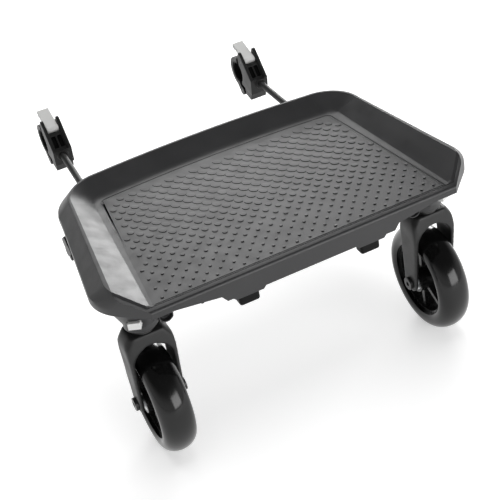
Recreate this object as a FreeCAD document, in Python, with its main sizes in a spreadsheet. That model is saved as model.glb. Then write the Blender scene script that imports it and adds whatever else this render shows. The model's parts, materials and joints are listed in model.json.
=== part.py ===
import FreeCAD, Part
import math
import os

import Sketcher

# Buggy board: a standing platform on two casters that clamps behind a pushchair.
# X runs across the board, +Y points to the pushchair and +Z is up. The origin is on the
# ground under the middle of the whole object. Heights named "drop" or "depth" are below
# the deck's floor, and setbacks are measured from the floor's front edge.

SIZES = {
    # Deck tray
    "deck_height": 220.0,
    "floor_width": 340.0,
    "floor_taper": 40.0,
    "floor_depth": 223.0,
    "floor_corner": 12.0,
    "rim_height": 15.5,
    "side_flare": 26.5,
    "back_flare": 25.5,
    "rim_corner": 42.0,
    "back_bow": 6.5,
    "end_run": 26.0,
    "tray_floor": 4.0,
    "tray_wall": 4.0,
    # Base frame
    "front_margin": 4.0,
    "lip_reach": 7.6,
    "shoulder_cut": 22.0,
    "shoulder_round": 50.0,
    "rim_band": 18.0,
    "arch_start_inset": 76.0,
    "arch_shoulder_inset": 69.0,
    "arch_end_inset": 22.0,
    "arch_shoulder_depth": 16.0,
    "arch_end_depth": 9.2,
    "arch_setback": 75.0,
    "frame_wall": 3.0,
    "frame_skin": 3.0,
    "seam_gap": 0.4,
    "rib_thickness": 2.5,
    "rib_inset": 15.0,
    "rib_gap": 1.0,
    "rib_lift": 7.0,
    # Front bumpers
    "bumper_inset": 100.25,
    "bumper_width": 22.5,
    "bumper_length": 13.5,
    "bumper_height": 13.0,
    "bumper_round": 3.0,
    "pad_setback": -2.0,
    "pad_width": 30.0,
    "pad_slope": 25.0,
    "pad_length": 20.0,
    "pad_depth": 7.5,
    "plug_radius": 4.0,
    "plug_height": 7.0,
    # Screws
    "screw_radius": 2.0,
    "screw_head_radius": 4.2,
    "screw_head_height": 2.0,
    "screw_length": 14.0,
    "screw_inset": 85.0,
    "screw_setback": 40.0,
    "screw_lag": 25.0,
    "anchor_inset": 16.0,
    "anchor_reach": 12.0,
    "guide_anchor_set": 5.0,
    "guide_anchor_reach": 8.0,
    "anchor_sink": 1.8,
    # Caster housings and their swivels
    "swivel_setback": 57.5,
    "housing_depth": 55.5,
    "housing_foot_radius": 18.3,
    "housing_neck": 7.0,
    "housing_top_radius": 35.0,
    "housing_flange": 3.0,
    "spigot_radius": 26.0,
    "swivel_gap": 5.0,
    "stem_radius": 5.0,
    "stem_bed": 11.0,
    "bush_wall": 3.0,
    "bush_length": 8.0,
    "bush_flange": 2.0,
    "bush_flange_radius": 14.0,
    "upper_bush_length": 10.0,
    "stem_cap_gap": 2.0,
    "running_gap": 0.05,
    "seat_gap": 0.02,
    "face_gap": 0.1,
    # Wheel release buttons
    "button_angle": 28.0,
    "button_depth": 38.5,
    "button_reach": 28.0,
    "button_width": 13.0,
    "button_height": 8.0,
    "button_root": 9.5,
    "button_travel": 3.0,
    "slide_gap": 0.3,
    "latch_width": 16.4,
    "latch_height": 3.0,
    "latch_tail": 10.5,
    "latch_bite": 1.1,
    "groove_depth": 1.4,
    "spring_radius": 1.4,
    "spring_bore": 0.8,
    "spring_length": 8.0,
    # Forks and axles
    "fork_width": 52.0,
    "fork_gap": 42.0,
    "crown_width": 37.0,
    "crown_length": 30.0,
    "shoulder_drop": 17.0,
    "shoulder_bulge_radius": 20.0,
    "leg_end_width": 24.0,
    "leg_end_drop": 11.0,
    "caster_trail": 5.0,
    "arch_rise": 20.0,
    "crown_height": 14.5,
    "wheel_gap": 17.0,
    "axle_radius": 4.0,
    "axle_head_radius": 7.5,
    "axle_head_height": 3.5,
    "axle_socket_radius": 2.6,
    "axle_socket_depth": 2.5,
    # Wheels
    "tyre_width": 37.6,
    "tyre_height": 20.0,
    "tyre_crown": 14.8,
    "rim_thickness": 3.5,
    "rim_width": 25.0,
    "hub_radius": 14.0,
    "hub_width": 38.0,
    "spoke_thickness": 5.0,
    "spoke_width": 20.0,
    "bearing_radius": 11.0,
    "bearing_width": 7.0,
    "spacer_wall": 2.5,
    "hub_core_radius": 8.0,
    # Arms
    "arm_inset": 23.3,
    "arm_drop": 46.8,
    "arm_splay_angle": -1.64,
    "arm_rise_angle": 3.19,
    "rod_radius": 4.0,
    "rod_front": 11.0,
    "socket_radius": 8.0,
    "socket_lead": 17.0,
    "socket_length": 43.0,
    "mouth_radius": 6.3,
    "mouth_depth": 6.0,
    "stop_gap": 66.0,
    "stop_radius": 7.5,
    "stop_length": 6.0,
    # Arm guides and their lock knobs
    "guide_inset": 12.0,
    "guide_width": 24.0,
    "guide_length": 34.0,
    "guide_floor": 12.0,
    "stud_radius": 3.0,
    "stud_tip_gap": 0.3,
    "knob_reach": 53.0,
    "knob_length": 17.0,
    "knob_core_radius": 11.0,
    "knob_lobe_radius": 5.5,
    "knob_radius": 14.8,
    "knob_bed": 12.0,
    # Tube clamps
    "clamp_setback": 440.3,
    "clamp_lift": 3.0,
    "clamp_width": 24.0,
    "channel_width": 16.0,
    "tube_radius": 12.5,
    "liner": 2.0,
    "jaw_wall": 6.0,
    "front_reach": 42.0,
    "ear_rise": 33.0,
    "foot_drop": 31.0,
    "channel_rise": 13.7,
    "brow_rise": 17.0,
    "brow_set": 24.0,
    "brow_thickness": 1.6,
    "face_set": 37.0,
    "face_low": 0.6,
    "slot_width": 5.2,
    "slot_depth": 3.0,
    "slot_spacing": 7.6,
    "toe_width": 22.0,
    "collar_wall": 3.0,
    "collar_reach": 2.0,
    "collar_length": 8.0,
    "hinge_set": 6.0,
    "hinge_drop": 26.0,
    "hinge_barrel": 5.5,
    "pin_radius": 2.0,
    "rod_end": 17.5,
    "rod_pin_set": 26.0,
    "rod_pin_radius": 1.2,
    "tongue_width": 15.0,
    "tongue_reach": 7.0,
    "tongue_rise": 20.0,
    "tongue_thickness": 4.0,
    # Clamp levers
    "lever_width": 14.8,
    "lever_pivot_set": 17.5,
    "lever_pivot_rise": 20.0,
    "lever_hub": 4.3,
    "lever_length": 30.0,
    "lever_tip_rise": 14.8,
    "lever_thickness": 4.5,
    # Allowance that every cut runs past its faces
    "overrun": 2.0,
}
SPOKES = 6
KNOB_LOBES = 5
LENGTH_RIBS = 5
CROSS_RIBS = 2
# Rim of the frame from the skirt up: shares of its band's width and of the rim's height
SKIRT_SHARE = 1.5
RIM_SHARES = [(0.907, -SKIRT_SHARE), (1.0, -0.25), (0.96, 0.0), (0.86, 0.12), (0.13, 1.0)]
# The hollow under the rim, by the same shares
HOLLOW_SHARES = [(0.907, -1.7), (1.0, -0.25), (0.8, 0.12), (0.5, 0.45)]
# A 45 degree corner wall keeps its thickness when its corner moves by this share of it
CORNER_SHARE = math.sqrt(2) - 1
# A step along a 45 degree diagonal moves by this share of it on each axis
DIAGONAL_SHARE = math.sqrt(0.5)
# Step between the cross ribs, as a share of the way from the first to the arm guides
RIB_STEP_SHARE = 0.69
# Share of the tray's floor that a deck screw enters
SCREW_BITE_SHARE = 0.6
# Fork seen from the front: shares of its half width and of the drop to the axle
FORK_FRONT_SHARES = [(1.0, 0.62), (1.0, 1.13)]
# Half width of the fork under its shoulders, as a share of its half width
SHOULDER_SHARE = 1.02
# Fork seen from the side: shares of half the crown's length and of the drop to the axle
FORK_SIDE_SHARES = [(1.0, 0.0), (1.16, 0.2), (1.1, 0.34)]
# Round of the fork about its stem: shares of its half width and of the drop to the axle
FORK_ROUND_SHARES = [(1.6, 1.5), (1.38, 0.62), (1.22, 0.3), (1.1, 0.12), (0.84, 0.0)]
# Clamp cheek: shares of the front reach, and of the ear's rise or the foot's drop
CHEEK_SHARES = [(1.0, 0.03), (0.43, 0.92), (0.38, 0.98), (0.3, 0.98), (0.21, 0.8)]
CHEEK_LOW_SHARES = [(0.21, -0.5), (0.6, -0.62), (0.9, -0.66)]
# Clamp foot and the wider toe ahead of its hinge: shares of the front reach and of the foot's drop
FOOT_SHARES = [(0.24, -0.1), (0.78, -0.1), (0.78, -0.55), (0.65, -1.0), (0.12, -1.0), (0.12, -0.62)]
TOE_SHARES = [(0.33, -0.3), (0.86, -0.3), (0.84, -0.62), (0.7, -1.0), (0.35, -0.9)]
# Ends of the two slots, as shares of the way down the clamp's sloping face
SLOT_SHARES = [0.2, 0.93]
# Curled tip of the lever: shares of its thickness from the tip's top corner
LEVER_TIP_SHARES = [(-1.3, -1.55), (-0.2, -1.8), (0.33, -0.5), (0.0, 0.0)]
# Jaw arms: shares of the jaw's ring radius
JAW_ARM_SHARES = [(-0.6, -1.4), (-0.08, -1.5), (0.33, -0.93), (-0.06, -0.78)]
# Angles about the tube, from the back over the top, that the jaw and the liners cover
JAW_TOP_ANGLE = 100.0
JAW_LOW_ANGLE = -95.0
LINER_TOP_ANGLE = 142.0
LINER_LOW_ANGLE = 218.0
# Length of a sector's side, as a share of the ring's radius
SECTOR_SHARE = 2.5

doc = FreeCAD.newDocument("buggy_board")
sheet = doc.addObject("Spreadsheet::Sheet", "Sizes")
for row, (alias, number) in enumerate(SIZES.items(), start=1):
    sheet.set(f"A{row}", alias)
    sheet.set(f"B{row}", str(number))
    sheet.setAlias(f"B{row}", alias)
doc.recompute()


class Size:
    """A cell of the sheet, or what is worked out from cells: its formula and its value."""

    def __init__(self, formula, value):
        self.formula = formula
        self.value = value

    def __add__(self, other):
        other = as_size(other)
        return Size(f"({self.formula} + {other.formula})", self.value + other.value)

    def __sub__(self, other):
        other = as_size(other)
        return Size(f"({self.formula} - {other.formula})", self.value - other.value)

    def __mul__(self, other):
        other = as_size(other)
        return Size(f"({self.formula} * {other.formula})", self.value * other.value)

    def __truediv__(self, other):
        other = as_size(other)
        return Size(f"({self.formula} / {other.formula})", self.value / other.value)

    def __neg__(self):
        return Size(f"(0 - {self.formula})", -self.value)

    __radd__ = __add__
    __rmul__ = __mul__


def as_size(number):
    """Let a plain share or count stand in a sum beside sizes."""
    if isinstance(number, Size):
        return number
    return Size(f"({number})", float(number))


def cosine(angle):
    return Size(f"cos({angle.formula})", math.cos(math.radians(angle.value)))


def sine(angle):
    return Size(f"sin({angle.formula})", math.sin(math.radians(angle.value)))


def tangent(angle):
    return Size(f"tan({angle.formula})", math.tan(math.radians(angle.value)))


def arc_radius(half_chord, rise):
    """Radius of an arc from half its chord and its rise."""
    return (half_chord * half_chord + rise * rise) / (2 * rise)


class Cells:
    """The sheet's cells by name."""


s = Cells()
for alias, number in SIZES.items():
    setattr(s, alias, Size(f"Sizes.{alias}", number))
ZERO = Size("0", 0.0)

# Places that several pieces share
floor_z = s.deck_height
bore_radius = s.tube_radius + s.liner
ring_radius = bore_radius + s.jaw_wall
tyre_arc = arc_radius(s.tyre_width / 2, s.tyre_crown)
front_y = (s.lip_reach - s.clamp_setback - ring_radius) / 2
skirt_z = floor_z - s.rim_height * SKIRT_SHARE
skin_z = floor_z - s.tray_floor - s.seam_gap - s.frame_skin
swivel_x = s.floor_width / 2
swivel_y = front_y + s.swivel_setback
housing_z = floor_z - s.housing_depth
crown_z = housing_z - s.swivel_gap
fork_arch_z = crown_z - s.crown_height
wheel_radius = (fork_arch_z - s.wheel_gap) / 2
bush_radius = s.stem_radius + s.bush_wall
bore_top_z = skirt_z + s.stem_cap_gap
latch_z = floor_z - s.button_depth
clamp_y = front_y + s.clamp_setback
floor_back_half = (s.floor_width - s.floor_taper) / 2
bumper_x = swivel_x - s.bumper_inset
guide_y = front_y + s.floor_depth - s.guide_inset
guide_front_y = guide_y - s.guide_length / 2
rib_y = swivel_y + s.housing_top_radius + s.rib_gap
rib_step = (guide_front_y - rib_y) * RIB_STEP_SHARE


def arm_x(y):
    """How far out the middle of an arm's rod is, at this place along the board."""
    return swivel_x - s.arm_inset + (y - swivel_y) * tangent(s.arm_splay_angle)


def arm_z(y):
    """How high the middle of an arm's rod is, at this place along the board."""
    return floor_z - s.arm_drop + (y - swivel_y) * tangent(s.arm_rise_angle)


clamp_x = arm_x(clamp_y)
clamp_z = arm_z(clamp_y) + s.clamp_lift
ALONG_X = FreeCAD.Rotation(FreeCAD.Vector(0, 1, 0), 90)
ALONG_Y = FreeCAD.Rotation(FreeCAD.Vector(1, 0, 0), -90)
ALONG_Z = FreeCAD.Rotation()
arm_direction = FreeCAD.Vector(tangent(s.arm_splay_angle).value, 1, tangent(s.arm_rise_angle).value)
ALONG_ARM = FreeCAD.Rotation(FreeCAD.Vector(0, 0, 1), arm_direction)
BUTTON_TURN = FreeCAD.Rotation(FreeCAD.Vector(0, 0, 1), s.button_angle.value - 90)


# Building blocks

def bind(thing, prop, size):
    """Tie a property to the sheet."""
    thing.setExpression(prop, as_size(size).formula)


def place(thing, x, y, z, turn=ALONG_Z):
    thing.Placement = FreeCAD.Placement(FreeCAD.Vector(), turn)
    bind(thing, "Placement.Base.x", x)
    bind(thing, "Placement.Base.y", y)
    bind(thing, "Placement.Base.z", z)
    return thing


def box(x, y, z):
    """A block between two places on each axis."""
    block = doc.addObject("Part::Box", "block")
    bind(block, "Length", x[1] - x[0])
    bind(block, "Width", y[1] - y[0])
    bind(block, "Height", z[1] - z[0])
    return place(block, x[0], y[0], z[0])


def bar(radius, length, x, y, z, turn=ALONG_Z):
    """A round bar that starts at a place and runs along a direction."""
    round_bar = doc.addObject("Part::Cylinder", "bar")
    bind(round_bar, "Radius", radius)
    bind(round_bar, "Height", length)
    return place(round_bar, x, y, z, turn)


def cross_bar(radius, width, y, z):
    """A round bar across the clamp, centred on it."""
    return bar(radius, width, clamp_x - width / 2, clamp_y + y, clamp_z + z, ALONG_X)


def fuse(*pieces):
    joined = doc.addObject("Part::MultiFuse", "joined")
    joined.Shapes = list(pieces)
    return joined


def cut(base, *tools):
    remainder = doc.addObject("Part::Cut", "remainder")
    remainder.Base = base
    remainder.Tool = tools[0] if len(tools) == 1 else fuse(*tools)
    return remainder


def common(first, second):
    shared = doc.addObject("Part::Common", "shared")
    shared.Base = first
    shared.Tool = second
    return shared


def group(pieces):
    together = doc.addObject("Part::Compound", "together")
    together.Links = pieces
    return together


def new_sketch(body, role, height=None):
    """A sketch on one of its body's own planes, raised by a height."""
    sketch = body.newObject("Sketcher::SketchObject", "sketch")
    plane = [feature for feature in body.Origin.OriginFeatures if feature.Role == role][0]
    sketch.AttachmentSupport = (plane, "")
    sketch.MapMode = "FlatFace"
    if height is not None:
        bind(sketch, "AttachmentOffset.Base.z", height)
    return sketch


def tie(sketch, kind, places, size):
    """Add a dimension to a sketch and tie it to the sheet."""
    index = sketch.addConstraint(Sketcher.Constraint(kind, *places, size.value))
    bind(sketch, f"Constraints[{index}]", size)


def draw(sketch, corners, arcs=None):
    """A closed outline, drawn anticlockwise. An arc, by radius, may follow a corner."""
    arcs = arcs or {}
    corners = [(as_size(x), as_size(y)) for x, y in corners]
    points = [FreeCAD.Vector(x.value, y.value, 0) for x, y in corners]
    count = len(points)
    for n, start in enumerate(points):
        end = points[(n + 1) % count]
        if n in arcs:
            radius = arcs[n].value
            chord = end - start
            out = FreeCAD.Vector(chord.y, -chord.x, 0).normalize()
            rise = radius - math.sqrt(max(radius**2 - (chord.Length / 2) ** 2, 0))
            sketch.addGeometry(Part.Arc(start, (start + end) / 2 + out * rise, end), False)
        else:
            sketch.addGeometry(Part.LineSegment(start, end), False)
    for n in range(count):
        sketch.addConstraint(Sketcher.Constraint("Coincident", n, 2, (n + 1) % count, 1))
    for n, (x, y) in enumerate(corners):
        tie(sketch, "DistanceX", (-1, 1, n, 1), x)
        tie(sketch, "DistanceY", (-1, 1, n, 1), y)
    for n, radius in arcs.items():
        tie(sketch, "Radius", (n,), radius)


def new_body():
    return doc.addObject("PartDesign::Body", "body")


def prism(role, corners, length, arcs=None):
    """An outline padded to both sides of its plane."""
    body = new_body()
    sketch = new_sketch(body, role)
    draw(sketch, corners, arcs)
    pad = body.newObject("PartDesign::Pad", "pad")
    pad.Profile = sketch
    pad.SideType = "Symmetric"
    bind(pad, "Length", length)
    return body


def turned(corners, axis="V_Axis", arcs=None):
    """An outline turned about an axis of its sketch: radius and height, or place and radius."""
    body = new_body()
    sketch = new_sketch(body, "XZ_Plane")
    draw(sketch, corners, arcs)
    turn = body.newObject("PartDesign::Revolution", "turn")
    turn.Profile = sketch
    turn.ReferenceAxis = (sketch, [axis])
    return body


def loft(sections):
    """A ruled loft through outlines, each a height, its corners and its arcs."""
    body = new_body()
    sketches = []
    for height, corners, arcs in sections:
        sketch = new_sketch(body, "XY_Plane", height)
        draw(sketch, corners, arcs)
        sketches.append(sketch)
    skin = body.newObject("PartDesign::AdditiveLoft", "skin")
    skin.Profile = (sketches[0], [""])
    skin.Sections = [(sketch, [""]) for sketch in sketches[1:]]
    skin.Ruled = True
    return body


parts = []


def keep(piece, label):
    piece.Label = label
    parts.append(piece)
    return piece


def keep_pair(piece, label):
    """Keep a right-hand piece and its mirror image on the left."""
    keep(piece, f"{label}_right")
    mirrored = doc.addObject("Part::Mirroring", "mirrored")
    mirrored.Source = piece
    mirrored.Normal = (1, 0, 0)
    mirrored.Base = (0, 0, 0)
    keep(mirrored, f"{label}_left")


# Deck outlines

def rounded_back(back_half, back, corner, front_corners):
    """A deck outline: its front corners on the right, and a bowed back with round corners."""
    side = back - corner
    half_bow = back_half - corner
    bow_radius = arc_radius(half_bow, s.back_bow)
    right = front_corners + [(back_half, side), (half_bow, back)]
    left = [(-x, y) for x, y in reversed(right)]
    corner_at = len(front_corners)
    return right + left, {corner_at: corner, corner_at + 1: bow_radius, corner_at + 2: corner}


def tray_section(height, run):
    """The tray's outline at a height above its floor, grown outwards by a run."""
    rise = height / s.rim_height
    flare = s.side_flare * rise + run
    front = (s.floor_width / 2 + flare, front_y + s.end_run * rise)
    back_half = floor_back_half + flare
    back = front_y + s.floor_depth + s.back_flare * rise + run
    at_rim = height.value > 0
    corner = (s.rim_corner if at_rim else s.floor_corner) + run
    corners, arcs = rounded_back(back_half, back, corner, [front])
    return floor_z + height, corners, arcs


def tray_form(run, drop):
    """A solid with the tray's shape, grown by a run, its underside below the floor by a drop."""
    return loft([tray_section(-drop, run), tray_section(s.rim_height, run)])


def frame_section(height, offset, inset):
    """The frame's outline at a height above the floor, outside the tray's rim by an offset."""
    half_width = s.floor_width / 2 + s.side_flare + offset
    back_half = floor_back_half + s.side_flare + offset
    back = front_y + s.floor_depth + s.back_flare + offset
    front = front_y - s.lip_reach + inset
    half_front = (s.floor_width + s.front_margin) / 2 - inset * CORNER_SHARE
    shoulder = front + half_width - half_front
    step = s.shoulder_cut * DIAGONAL_SHARE
    shoulder_start = (half_width - step, shoulder - step)
    front_corners = [(half_front, front), shoulder_start, (half_width, shoulder + s.shoulder_cut)]
    corners, arcs = rounded_back(back_half, back, s.rim_corner + offset, front_corners)
    arcs[1] = s.shoulder_round
    arcs[len(corners) - 3] = s.shoulder_round
    return floor_z + height, corners, arcs


def frame_form(shares, wall):
    """A solid through the frame's outlines, a wall inside them."""
    levels = [(s.rim_height * rise, s.rim_band * run - wall) for run, rise in shares]
    return loft([frame_section(height, offset, wall) for height, offset in levels])


def caster_arches():
    """What the skirt leaves free in front of each caster."""
    low = skirt_z - s.overrun
    far = s.floor_width
    arches = []
    for side in (1, -1):
        corners = [
            (swivel_x - s.arch_start_inset, low), (far, low), (far, floor_z - s.arch_end_depth),
            (swivel_x - s.arch_end_inset, floor_z - s.arch_end_depth),
            (swivel_x - s.arch_shoulder_inset, floor_z - s.arch_shoulder_depth),
        ]
        corners = [(x * side, z) for x, z in corners[::side]]
        arch = prism("XZ_Plane", corners, s.arch_setback * 2)
        arches.append(place(arch, ZERO, front_y, ZERO))
    return arches


def front_wedge(drop):
    """What lies above the sloped plane that ends the tray's walls and the front lip."""
    slope = s.rim_height / s.end_run
    ahead = s.lip_reach + s.overrun
    low = floor_z - ahead * slope - drop
    high = floor_z + s.rim_height - drop
    top = floor_z + s.rim_height + s.overrun
    corners = [(front_y - ahead, low), (front_y + s.end_run, high)]
    corners += [(front_y + s.end_run, top), (front_y - ahead, top)]
    return prism("YZ_Plane", corners, s.floor_width * 2)


def front_trim(gap):
    """What lies ahead of the floor's front edge."""
    reach = (-s.floor_width, s.floor_width)
    return box(reach, (front_y - s.floor_depth, front_y - gap), (floor_z - s.deck_height, floor_z * 2))


# Screws

def screw(x, y, z, turn=ALONG_Z, length=s.screw_length):
    """A pan-head screw whose head's underside is at a height, pointing up or down."""
    upward = turn is ALONG_Z
    head_z = z - s.screw_head_height if upward else z + s.screw_head_height
    head = bar(s.screw_head_radius, s.screw_head_height, x, y, head_z, turn)
    shank = bar(s.screw_radius, length, x, y, z, turn)
    return fuse(head, shank)


DOWN = FreeCAD.Rotation(FreeCAD.Vector(1, 0, 0), 180)
deck_screw_length = s.frame_skin + s.seam_gap + s.tray_floor * SCREW_BITE_SHARE
deck_screw_rows = [front_y + s.screw_setback]
deck_screw_rows += [rib_y + rib_step * n + s.screw_lag for n in range(CROSS_RIBS)]
deck_screw_places = [((swivel_x - s.screw_inset) * side, y) for side in (-1, 1) for y in deck_screw_rows]
anchor_seat_z = floor_z - s.tray_floor - s.seam_gap - s.anchor_sink
housing_anchor_x = swivel_x - s.anchor_inset
guide_anchor_y = guide_y - s.guide_anchor_set
anchor_places = [
    (side * x, y + step * reach)
    for side in (-1, 1)
    for x, y, reach in (
        (housing_anchor_x, swivel_y, s.anchor_reach),
        (arm_x(guide_y), guide_anchor_y, s.guide_anchor_reach),
    )
    for step in (-1, 1)
]


def deck_tray():
    outside = tray_form(s.tray_wall, s.tray_floor)
    inside = tray_form(ZERO, ZERO)
    holes = [
        bar(s.screw_radius + s.running_gap, deck_screw_length, x, y, skin_z)
        for x, y in deck_screw_places
    ]
    bevelled = common(outside, frame_form(RIM_SHARES, ZERO))
    return cut(bevelled, inside, front_trim(ZERO), *holes)


def base_frame():
    outside = frame_form(RIM_SHARES, ZERO)
    pocket = cut(tray_form(s.tray_wall + s.seam_gap, s.tray_floor + s.seam_gap), front_trim(s.seam_gap))
    hollow = frame_form(HOLLOW_SHARES, s.frame_wall)
    skin = tray_form(
        s.tray_wall + s.seam_gap + s.frame_skin, s.tray_floor + s.seam_gap + s.frame_skin
    )
    cavity = cut(hollow, skin, front_wedge(s.frame_wall + s.seam_gap))
    shell = cut(outside, front_wedge(ZERO), pocket, cavity, *caster_arches())
    ribs = common(fuse(*frame_ribs()), cavity)
    joined = fuse(shell, ribs, *bumper_pads())
    clearance = s.screw_radius + s.face_gap
    holes = [bar(clearance, s.frame_skin + s.overrun, x, y, skin_z) for x, y in deck_screw_places]
    for x, y in anchor_places:
        holes.append(bar(clearance, s.frame_skin + s.overrun * 2, x, y, skin_z - s.overrun))
        seat = s.screw_head_radius + s.face_gap
        holes.append(bar(seat, s.anchor_sink + s.seam_gap, x, y, anchor_seat_z))
    for side in (-1, 1):
        x = bumper_x * side
        holes.append(bar(s.plug_radius + s.seat_gap, s.plug_height, x, bumper_y, bumper_top_z))
    return cut(joined, *holes)


def frame_ribs():
    """Crossing ribs under the deck, before they are trimmed to the hollow."""
    depth = (skirt_z + s.rib_lift, floor_z + s.rim_height)
    ribs = []
    half_count = (LENGTH_RIBS - 1) / 2
    spacing = (swivel_x - s.housing_top_radius - s.rib_inset) / half_count
    for n in range(LENGTH_RIBS):
        middle = spacing * (n - half_count)
        across = (middle - s.rib_thickness / 2, middle + s.rib_thickness / 2)
        ribs.append(box(across, (front_y - s.lip_reach, front_y + s.floor_depth * 2), depth))
    for n in range(CROSS_RIBS):
        start = rib_y + rib_step * n
        ribs.append(box((-s.floor_width, s.floor_width), (start, start + s.rib_thickness), depth))
    return ribs


# Front bumpers

pad_front_y = front_y + s.pad_setback
bumper_y = pad_front_y + s.pad_length / 2
bumper_top_z = skirt_z - s.pad_depth


def bumper_pads():
    """Lugs with sloped sides on the frame that carry the bumpers."""
    low = s.pad_width / 2
    high = low + s.pad_slope
    top_z = skin_z + s.frame_skin / 2
    pads = []
    for side in (-1, 1):
        corners = [(-low, bumper_top_z), (low, bumper_top_z), (high, top_z), (-high, top_z)]
        pad = prism("XZ_Plane", corners, s.pad_length)
        pads.append(place(pad, bumper_x * side, bumper_y, ZERO))
    return pads


def front_bumper():
    """A rubber block with rounded edges and a plug that holds it in its lug."""
    middle = bumper_x
    half = s.bumper_width / 2
    body = new_body()
    sketch = new_sketch(body, "XY_Plane", bumper_top_z - s.bumper_height)
    near = bumper_y - s.bumper_length / 2
    far = bumper_y + s.bumper_length / 2
    low, high = middle - half, middle + half
    draw(sketch, [(low, near), (high, near), (high, far), (low, far)])
    pad = body.newObject("PartDesign::Pad", "pad")
    pad.Profile = sketch
    bind(pad, "Length", s.bumper_height)
    doc.recompute()
    edges = [
        f"Edge{n}"
        for n, edge in enumerate(pad.Shape.Edges, start=1)
        if edge.BoundBox.ZMin < (bumper_top_z - s.bumper_height / 2).value
    ]
    soft = body.newObject("PartDesign::Fillet", "soft")
    soft.Base = (pad, edges)
    bind(soft, "Radius", s.bumper_round)
    plug = bar(s.plug_radius, s.plug_height - s.face_gap, middle, bumper_y, bumper_top_z)
    return fuse(body, plug)


# Caster housing, with the socket for the arm and the slot for the release button

def caster_housing():
    neck_z = housing_z + s.housing_neck
    top_z = floor_z - s.arch_end_depth - s.seam_gap
    profile = [
        (bush_radius + s.seat_gap, housing_z),
        (s.housing_foot_radius, housing_z),
        (s.housing_foot_radius + s.face_gap, neck_z),
        (s.housing_top_radius, top_z - s.housing_flange),
        (s.housing_top_radius, top_z),
        (s.spigot_radius, top_z),
        (s.spigot_radius, skin_z),
        (ZERO, skin_z),
        (ZERO, bore_top_z),
        (bush_radius + s.seat_gap, bore_top_z),
    ]
    shell = place(turned(profile), swivel_x, swivel_y, ZERO)
    start_y = swivel_y - s.socket_lead
    socket = bar(s.socket_radius, s.socket_length, arm_x(start_y), start_y, arm_z(start_y), ALONG_ARM)
    ahead_y = start_y - s.overrun
    whole = s.socket_length * 2
    bore = bar(s.rod_radius + s.running_gap, whole, arm_x(ahead_y), ahead_y, arm_z(ahead_y), ALONG_ARM)
    mouth = bar(
        s.mouth_radius, s.mouth_depth + s.overrun, arm_x(ahead_y), ahead_y, arm_z(ahead_y), ALONG_ARM
    )
    anchors = [
        bar(s.screw_radius + s.seat_gap, s.screw_length, x, y, anchor_seat_z, DOWN)
        for x, y in anchor_places
        if x.value > 0 and y.value < 0
    ]
    return cut(fuse(shell, socket), bore, mouth, *button_space(), *anchors)


def in_button_frame(thing, x, z):
    """Place a piece along the button's line, out from the swivel's axis."""
    along = s.button_angle - 90
    return place(thing, swivel_x + x * cosine(along), swivel_y + x * sine(along), z, BUTTON_TURN)


def button_block(start, end, width, height):
    block = doc.addObject("Part::Box", "block")
    bind(block, "Length", end - start)
    bind(block, "Width", width)
    bind(block, "Height", height)
    along = s.button_angle - 90
    half = width / 2
    x = swivel_x + start * cosine(along) + half * sine(along)
    y = swivel_y + start * sine(along) - half * cosine(along)
    return place(block, x, y, latch_z - height / 2, BUTTON_TURN)


def button_bar(radius, length, start):
    turn = BUTTON_TURN.multiply(ALONG_X)
    along = s.button_angle - 90
    x = swivel_x + start * cosine(along)
    y = swivel_y + start * sine(along)
    return bar(radius, length, x, y, latch_z, turn)


def button_space():
    """The slot that the button slides in, the latch's chamber and the spring's pocket."""
    gap = s.slide_gap * 2
    slot = button_block(s.button_root - s.button_travel - gap, s.housing_top_radius,
                        s.button_width + gap, s.button_height + gap)
    tail = s.latch_tail + s.button_travel + gap
    chamber = button_block(-tail, s.button_root + gap, s.latch_width + gap, s.latch_height + gap)
    pocket_start = -(s.latch_tail + s.spring_length)
    pocket = button_bar(s.spring_radius + s.slide_gap, s.spring_length, pocket_start)
    return [slot, chamber, pocket]


def release_button():
    """The push button and the latch plate round the stem's groove, in one piece."""
    block = button_block(s.button_root, s.button_reach, s.button_width, s.button_height)
    plate = button_block(-s.latch_tail, s.button_root + s.slide_gap, s.latch_width, s.latch_height)
    hole_radius = s.stem_radius + s.slide_gap
    near = s.latch_bite + s.slide_gap
    tall = s.latch_height + s.overrun * 2
    base_z = latch_z - tall / 2
    holes = []
    for shift in (near, near + s.button_travel - s.latch_bite):
        hole = doc.addObject("Part::Cylinder", "hole")
        bind(hole, "Radius", hole_radius)
        bind(hole, "Height", tall)
        holes.append(in_button_frame(hole, shift, base_z))
    holes.append(button_block(near, near + s.button_travel - s.latch_bite, hole_radius * 2, tall))
    return cut(fuse(block, plate), *holes)


def release_spring():
    """The coil spring behind the latch, as the sleeve that it fills."""
    start = -(s.latch_tail + s.spring_length)
    sleeve = button_bar(s.spring_radius, s.spring_length, start)
    bore = button_bar(s.spring_bore, s.spring_length, start)
    return cut(sleeve, bore)


def swivel_bushes():
    inner = s.stem_radius + s.running_gap
    lower = turned([
        (inner, housing_z - s.bush_flange),
        (s.bush_flange_radius, housing_z - s.bush_flange),
        (s.bush_flange_radius, housing_z),
        (bush_radius, housing_z),
        (bush_radius, housing_z + s.bush_length),
        (inner, housing_z + s.bush_length),
    ])
    low = bore_top_z - s.upper_bush_length
    upper = turned([(inner, low), (bush_radius, low), (bush_radius, bore_top_z), (inner, bore_top_z)])
    return group([place(bush, swivel_x, swivel_y, ZERO) for bush in (lower, upper)])


# Swivelling fork and wheel, drawn about the swivel's axis and then moved into place

axle_y = s.caster_trail


def keep_casters(piece, label):
    keep_pair(place(piece, swivel_x, swivel_y, ZERO), label)


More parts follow.
